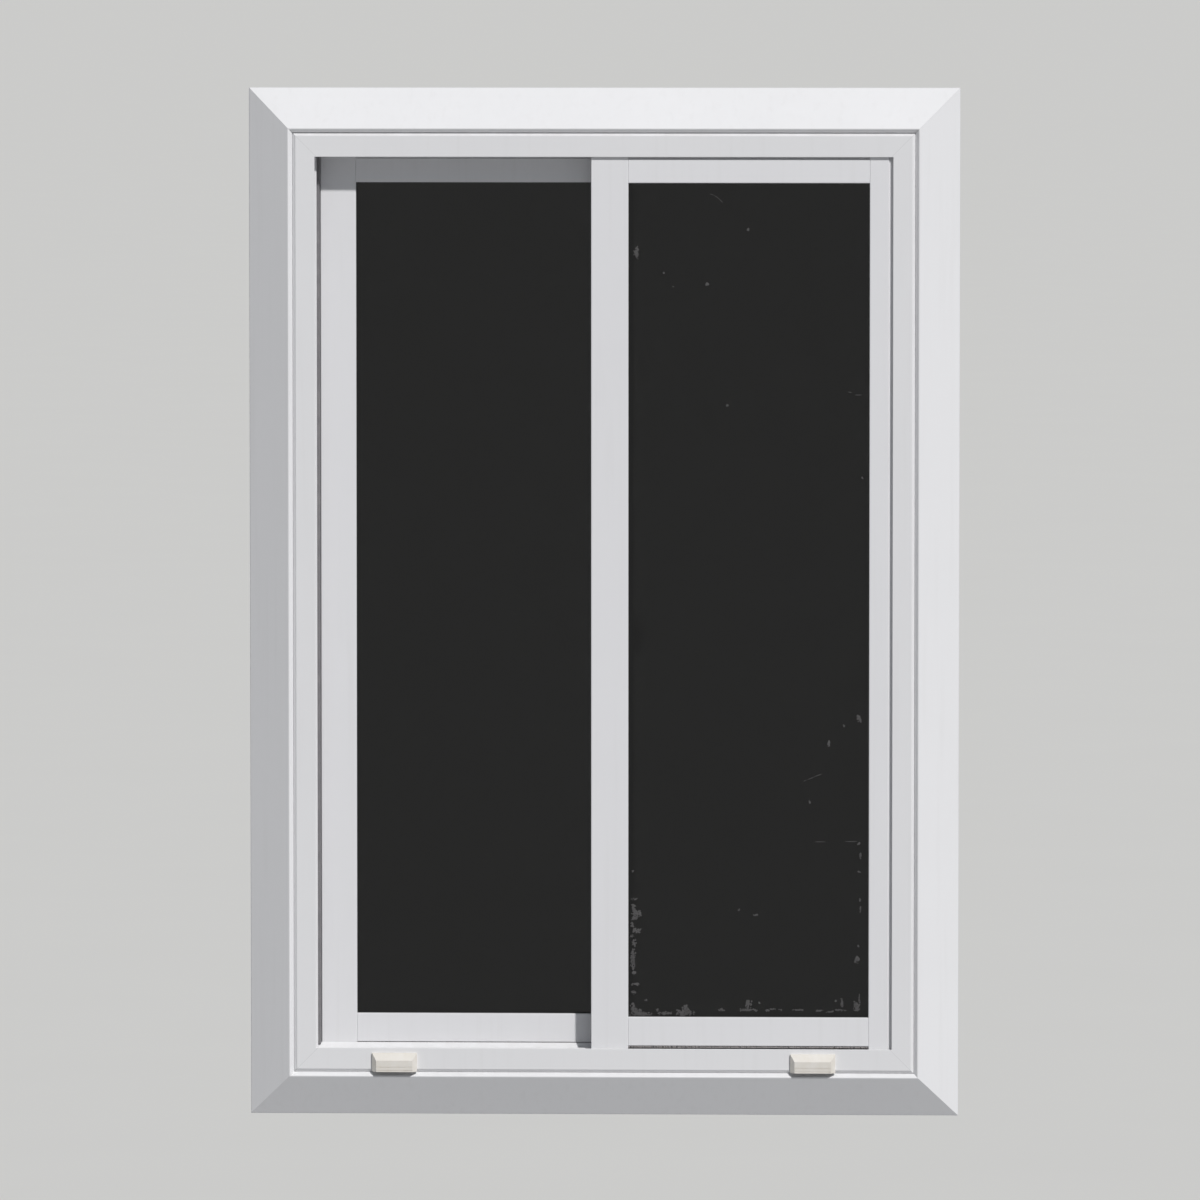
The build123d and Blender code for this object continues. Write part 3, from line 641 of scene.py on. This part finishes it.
# %% Scratches on the right pane
SCRATCHES = (
    (107.0, 1061.0, 2.5, -10.0),
    (113.5, 1057.5, 5.0, -33.0),
    (119.0, 1052.5, 3.5, -45.0),
    (57.5, 942.5, 1.5, 0.0),
    (295.5, 803.5, 4.5, 0.0),
    (284.5, 807.0, 3.5, -15.0),
    (235.0, 309.0, 5.0, 22.0),
    (244.5, 313.0, 5.5, 20.0),
    (227.5, 306.0, 2.5, 25.0),
    (287.5, 227.5, 9.0, 0.0),
    (247.0, 227.0, 8.0, 0.0),
)
SCRATCH_HALF_WIDTH = 0.45

scratches = bmesh.new()
for across, up, half_length, slope in SCRATCHES:
    add_flake(scratches, across, up, half_length, SCRATCH_HALF_WIDTH, math.radians(slope))
add_piece("pane_scratches", scratches, "dried_splash")

# %% [markdown]
# A rubber seal stands between the two tracks of each jamb, and the left one shows as a dark line
# between the frame and the sash. The seal is a real part, and its dark grey also stands in for
# the
# shade of the deep gap there: painted shade. It is a bar with rounded edges that starts above the
# ledge of the sill, ends below the head and has its foot just past the stile's edge. A dark line
# painted on the frame would look alike from the front, but would lie on the wrong surface from
# any other side.

# %% Seals in the jambs
SEAL_PAST_STILE = 1.9 * MM
SEAL_HEIGHT = 10.7 * MM
SEAL_THICKNESS = 5.6 * MM
SEAL_ROUND = 0.8 * MM
SEAL_ABOVE_SILL = 8.0 * MM
SEAL_BELOW_HEAD = 2.0 * MM


def rounded_bar(mesh, low, high, rounding):
    """A box between two corners with its edges rounded."""
    box = bmesh.ops.create_cube(mesh, size=1.0)["verts"]
    bmesh.ops.scale(mesh, verts=box, vec=high - low)
    bmesh.ops.translate(mesh, verts=box, vec=(low + high) / 2)
    edges = list({edge for vert in box for edge in vert.link_edges})
    bmesh.ops.bevel(mesh, geom=edges, offset=rounding, segments=3, profile=0.5, affect="EDGES",
                    material=-1)


seal_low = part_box("right_meeting_stile")[0].z + SEAL_ABOVE_SILL
seal_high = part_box("right_meeting_stile")[1].z - SEAL_BELOW_HEAD
for side, sign in (("left", -1.0), ("right", 1.0)):
    stile_edges = [corner.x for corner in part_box(side + "_jamb_stile")]
    foot = max(stile_edges, key=abs) + sign * SEAL_PAST_STILE
    ends = sorted((foot - sign * SEAL_HEIGHT, foot))
    seal = bmesh.new()
    rounded_bar(seal, Vector((ends[0], -SEAL_THICKNESS / 2, seal_low)),
                Vector((ends[1], SEAL_THICKNESS / 2, seal_high)), SEAL_ROUND)
    add_piece(side + "_jamb_seal", seal, "grey_rubber_and_shade")

# %% [markdown]
# A brush strip closes the slot below each sash. It is a plastic backing with a row of tufts,
# fixed inside the front wall of the bottom rail, and its tips reach forward to the frame's lip.
# The tufts are thin four-sided cones, and each is a little off its place, as fibres are. Hair
# could make the same strip, but it would be far heavier and wouldn't export.

# %% Brush strips below the sashes
CHANNEL_WALL = 2.0 * MM
BACKING_GAP = 0.05 * MM
BACKING_THICKNESS = 0.8 * MM
BACKING_HEIGHT = 5.0 * MM
BACKING_TOP = 8.0 * MM
BACKING_ROUND = 0.2 * MM
TUFT_STEP = 1.6 * MM
TUFT_RADIUS = 1.0 * MM
TUFT_LENGTH = 8.0 * MM
TUFT_TOP = 5.5 * MM
TUFT_BEHIND_BACKING = TUFT_RADIUS * 0.7
TUFT_LEAN = math.radians(14.0)
LEAN_SHARES = (0.8, 1.2)
TUFT_SWAY = 0.12


def add_tuft(mesh, top):
    """One tuft that hangs from its top, leaning forward and a little aside."""
    tuft = bmesh.ops.create_cone(mesh, cap_ends=True, segments=4, radius1=TUFT_RADIUS,
                                 radius2=TUFT_RADIUS / 2, depth=TUFT_LENGTH)["verts"]
    bmesh.ops.translate(mesh, verts=tuft, vec=(0.0, 0.0, -TUFT_LENGTH / 2))
    lean = (Matrix.Rotation(-TUFT_LEAN * chance.uniform(*LEAN_SHARES), 3, "X")
            @ Matrix.Rotation(chance.uniform(-TUFT_SWAY, TUFT_SWAY), 3, "Y"))
    bmesh.ops.rotate(mesh, verts=tuft, cent=(0.0, 0.0, 0.0), matrix=lean)
    bmesh.ops.translate(mesh, verts=tuft, vec=top)


for side in ("left", "right"):
    rail_low, rail_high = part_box(side + "_bottom_rail")
    backing_front = rail_low.y + CHANNEL_WALL + BACKING_GAP
    backing_back = backing_front + BACKING_THICKNESS
    brush = bmesh.new()
    rounded_bar(brush,
                Vector((rail_low.x, backing_front, rail_low.z + BACKING_TOP - BACKING_HEIGHT)),
                Vector((rail_high.x, backing_back, rail_low.z + BACKING_TOP)), BACKING_ROUND)
    for step in range(int((rail_high.x - rail_low.x) / TUFT_STEP)):
        add_tuft(brush, (rail_low.x + (step + 0.5) * TUFT_STEP,
                         backing_back + TUFT_BEHIND_BACKING, rail_low.z + TUFT_TOP))
    add_piece(side + "_brush_strip", brush, "brush_pile")

# %% [markdown]
# Two cross-head screws hold the latch to its stile. A screw's head is a low dome with a cross
# pressed into it. The cross starts as a grid of nine squares without its corners, the dome's
# rings are drawn down from a circle around it, and bridging joins the two.

# %% Screws of the latch
SCREW_RADIUS = 3.4 * MM
SCREW_FLAT = 0.72
SCREW_HEIGHT = 1.6 * MM
SCREW_SIDES = 24
DOME_RINGS = ((0.90, 0.25), (1.0, 0.62), (1.0, 1.0))
CROSS_REACH = 1.8 * MM
CROSS_DEPTH = 1.2 * MM
CROSS_TAPER = 0.6
SCREW_FROM_END = 8.0 * MM


def off_the_cross(square):
    """Whether a square of the grid lies on neither arm of the cross."""
    middle = square.calc_center_median()
    return min(abs(middle.x), abs(middle.y)) > CROSS_REACH / 3


def screw_head(place):
    """A dome with a cross-shaped recess, standing on the plane at its place."""
    head = bmesh.new()
    bmesh.ops.create_grid(head, x_segments=3, y_segments=3, size=CROSS_REACH)
    corners = [square for square in head.faces if off_the_cross(square)]
    bmesh.ops.delete(head, geom=corners, context="FACES")
    cross_edges = [edge for edge in head.edges if edge.is_boundary]
    recess = bmesh.ops.extrude_face_region(head, geom=head.faces[:])["geom"]
    bottom = [item for item in recess if isinstance(item, bmesh.types.BMVert)]
    bmesh.ops.translate(head, verts=bottom, vec=(0, 0, -CROSS_DEPTH))
    bmesh.ops.scale(head, verts=bottom, vec=(CROSS_TAPER, CROSS_TAPER, 1.0))
    rim = bmesh.ops.create_circle(head, segments=SCREW_SIDES,
                                  radius=SCREW_RADIUS * SCREW_FLAT)["verts"]
    rim_edges = list({edge for vert in rim for edge in vert.link_edges})
    bmesh.ops.bridge_loops(head, edges=cross_edges + rim_edges)
    for spread, drop in DOME_RINGS:
        grown = bmesh.ops.extrude_edge_only(head, edges=rim_edges)["geom"]
        ring = [item for item in grown if isinstance(item, bmesh.types.BMVert)]
        rim_edges = [item for item in grown if isinstance(item, bmesh.types.BMEdge)]
        for vert in ring:
            outward = vert.co.xy.normalized() * SCREW_RADIUS * spread
            vert.co = (outward.x, outward.y, -SCREW_HEIGHT * drop)
    bmesh.ops.contextual_create(head, geom=rim_edges)
    bmesh.ops.transform(head, matrix=place @ Matrix.Translation((0, 0, SCREW_HEIGHT)),
                        verts=head.verts)
    return head


latch_low, latch_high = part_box("latch_base")
latch_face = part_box("latch_cam")[0].y
for end, screw_z in (("upper", latch_high.z - SCREW_FROM_END),
                     ("lower", latch_low.z + SCREW_FROM_END)):
    screw_place = Matrix.Translation(((latch_low.x + latch_high.x) / 2, latch_face, screw_z))
    add_piece(end + "_latch_screw", screw_head(screw_place @ FACING_ROOM), "screw_steel")

# %% [markdown]
# The floor is a large pale disc, as far below the window as a real one would be. It isn't part
# of the window. It is pale to the camera, to mirrors and to clear glass, but throws back less
# light than it seems to, so that the undersides stay in the shade.

# %% Lay the floor
FLOOR_DROP = 0.9
FLOOR_RADIUS = 320.0
FLOOR_SIDES = 96
PALE_FLOOR = (0.768, 0.757, 0.726, 1.0)
PALER_FLOOR = (0.782, 0.771, 0.739, 1.0)
FLOOR_THROWS_BACK = (0.45, 0.45, 0.45, 1.0)

floor_mesh = bpy.data.meshes.new("floor")
disc = bmesh.new()
bmesh.ops.create_circle(disc, cap_ends=True, segments=FLOOR_SIDES, radius=FLOOR_RADIUS)
bmesh.ops.translate(disc, verts=disc.verts, vec=(0, 0, casing_low.z - FLOOR_DROP))
disc.to_mesh(floor_mesh)
disc.free()
floor = bpy.data.objects.new("floor", floor_mesh)
bpy.context.scene.collection.objects.link(floor)
floor_finish, tree, shader = start_material("floor")
speckle = add_node(tree, "ShaderNodeTexNoise", Vector=place_of_point(tree), Scale=2.0, Detail=4.0)
seen_color = mix_colors(tree, speckle.outputs["Fac"], PALE_FLOOR, PALER_FLOOR)
fill_socket(tree, shader.inputs["Base Color"],
            mix_colors(tree, seen_plainly(tree), FLOOR_THROWS_BACK, seen_color))
shader.inputs["Roughness"].default_value = 0.9
shader.inputs["Specular IOR Level"].default_value = 0.0
floor_mesh.materials.append(floor_finish)
print("floor at", round(casing_low.z - FLOOR_DROP, 3))
